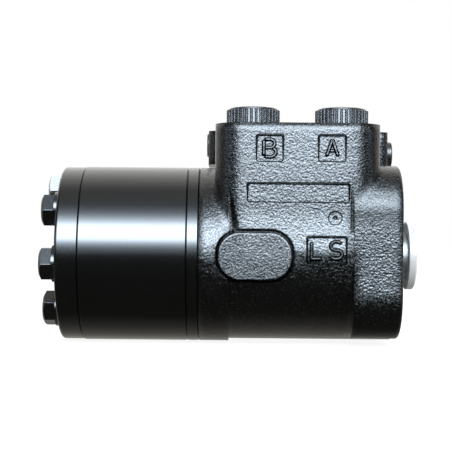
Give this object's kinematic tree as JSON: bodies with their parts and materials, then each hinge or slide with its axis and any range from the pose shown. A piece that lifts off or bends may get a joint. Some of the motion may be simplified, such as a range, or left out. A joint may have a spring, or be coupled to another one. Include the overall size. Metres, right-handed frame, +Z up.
{
  "type": "orbital steering unit",
  "caption": "Hydrostatic orbital steering unit with a cast port housing, a gear set, an end cover and a splined input.",
  "frame": {"origin": "centre of the column mounting face, on the shaft axis", "axes": "+X along the shaft axis out of the column face, +Z up out of the port face"},
  "size_m": [0.1968, 0.0932, 0.1232],
  "materials": {
    "black_casting": "gloss black paint over sand-cast iron",
    "black_machined": "smooth satin-gloss black over turned steel",
    "black_fastener": "gloss black paint over hexagon bolts and plugs",
    "zinc_fastener": "bright zinc plated",
    "ground_steel": "ground hardened steel",
    "spring_steel": "blued spring steel",
    "seal_rubber": "moulded nitrile rubber",
    "black_plastic": "moulded polyethylene, knurled",
    "white_plastic": "translucent natural polyethylene"
  },
  "bodies": {
    "unit": {"housing": "black_casting", "spacer_plate": "black_machined", "gear_ring": "black_machined", "end_cover": "black_machined", "cover_bolts": "black_fastener", "cover_pin_bolt": "zinc_fastener", "bolt_washers": "black_fastener", "thrust_race_front": "ground_steel", "shaft_seal": "seal_rubber", "dust_seal": "seal_rubber", "seal_ring_housing": "seal_rubber", "seal_ring_plate": "seal_rubber", "seal_ring_cover": "seal_rubber", "locating_pin": "ground_steel", "check_seat": "ground_steel", "front_valve_plug": "black_fastener", "front_valve_seat": "ground_steel", "front_valve_spring": "spring_steel", "rear_valve_plug": "black_fastener", "rear_valve_seat": "ground_steel", "rear_valve_spring": "spring_steel", "port_plug_front": "black_plastic", "port_plug_rear": "black_plastic", "plug_seals": "seal_rubber"},
    "sleeve_set": {"sleeve": "ground_steel", "cross_pin": "ground_steel", "flat_springs": "spring_steel", "bowed_springs": "spring_steel", "spring_retainer": "ground_steel", "thrust_race_rear": "ground_steel"},
    "spool_set": {"spool": "ground_steel", "dust_cap": "white_plastic"},
    "rotor_carrier": {"drive_spacer": "ground_steel"},
    "rotor_body": {"rotor": "ground_steel"},
    "cardan_body": {"cardan_shaft": "ground_steel"},
    "thrust_bearing": {"thrust_cage": "ground_steel", "thrust_needles": "ground_steel"},
    "check_valve_ball": {"check_ball": "ground_steel"},
    "front_valve_body": {"front_valve_poppet": "ground_steel"},
    "rear_valve_body": {"rear_valve_poppet": "ground_steel"}
  },
  "joints": [
    {"name": "sleeve_turn", "type": "hinge", "parent": "unit", "child": "sleeve_set", "pos_m": [-0.038, 0, 0], "axis": [1, 0, 0], "continuous": true},
    {"name": "spool_turn", "type": "hinge", "parent": "sleeve_set", "child": "spool_set", "pos_m": [-0.038, 0, 0], "axis": [1, 0, 0], "range_deg": [-8, 8], "stiffness_Nm_per_rad": 6, "deforming": ["flat_springs", "bowed_springs"]},
    {"name": "rotor_orbit", "type": "hinge", "parent": "unit", "child": "rotor_carrier", "pos_m": [-0.1375, 0, 0], "axis": [1, 0, 0], "continuous": true},
    {"name": "rotor_spin", "type": "hinge", "parent": "rotor_carrier", "child": "rotor_body", "pos_m": [-0.1375, 0, 0.003], "axis": [1, 0, 0], "continuous": true},
    {"name": "cardan_spin", "type": "hinge", "parent": "rotor_carrier", "child": "cardan_body", "pos_m": [-0.038, 0, 0], "axis": [0.9995, 0, -0.0319], "continuous": true},
    {"name": "bearing_turn", "type": "hinge", "parent": "unit", "child": "thrust_bearing", "pos_m": [-0.01675, 0, 0], "axis": [1, 0, 0], "continuous": true},
    {"name": "check_ball_lift", "type": "slide", "parent": "unit", "child": "check_valve_ball", "axis": [-1, 0, 0], "range_m": [0, 0.0015]},
    {"name": "front_valve_lift", "type": "slide", "parent": "unit", "child": "front_valve_body", "axis": [1, 0, 0], "range_m": [0, 0.001], "stiffness_N_per_m": 2000, "springref_m": -0.001, "deforming": ["front_valve_spring"]},
    {"name": "rear_valve_lift", "type": "slide", "parent": "unit", "child": "rear_valve_body", "axis": [-1, 0, 0], "range_m": [0, 0.001], "stiffness_N_per_m": 2000, "springref_m": -0.001, "deforming": ["rear_valve_spring"]}
  ],
  "couplings": [
    {"joint": "rotor_orbit", "follows": "sleeve_turn", "ratio": -6},
    {"joint": "rotor_spin", "follows": "sleeve_turn", "ratio": 7},
    {"joint": "cardan_spin", "follows": "sleeve_turn", "ratio": 7},
    {"joint": "bearing_turn", "follows": "sleeve_turn", "ratio": 0.5}
  ]
}
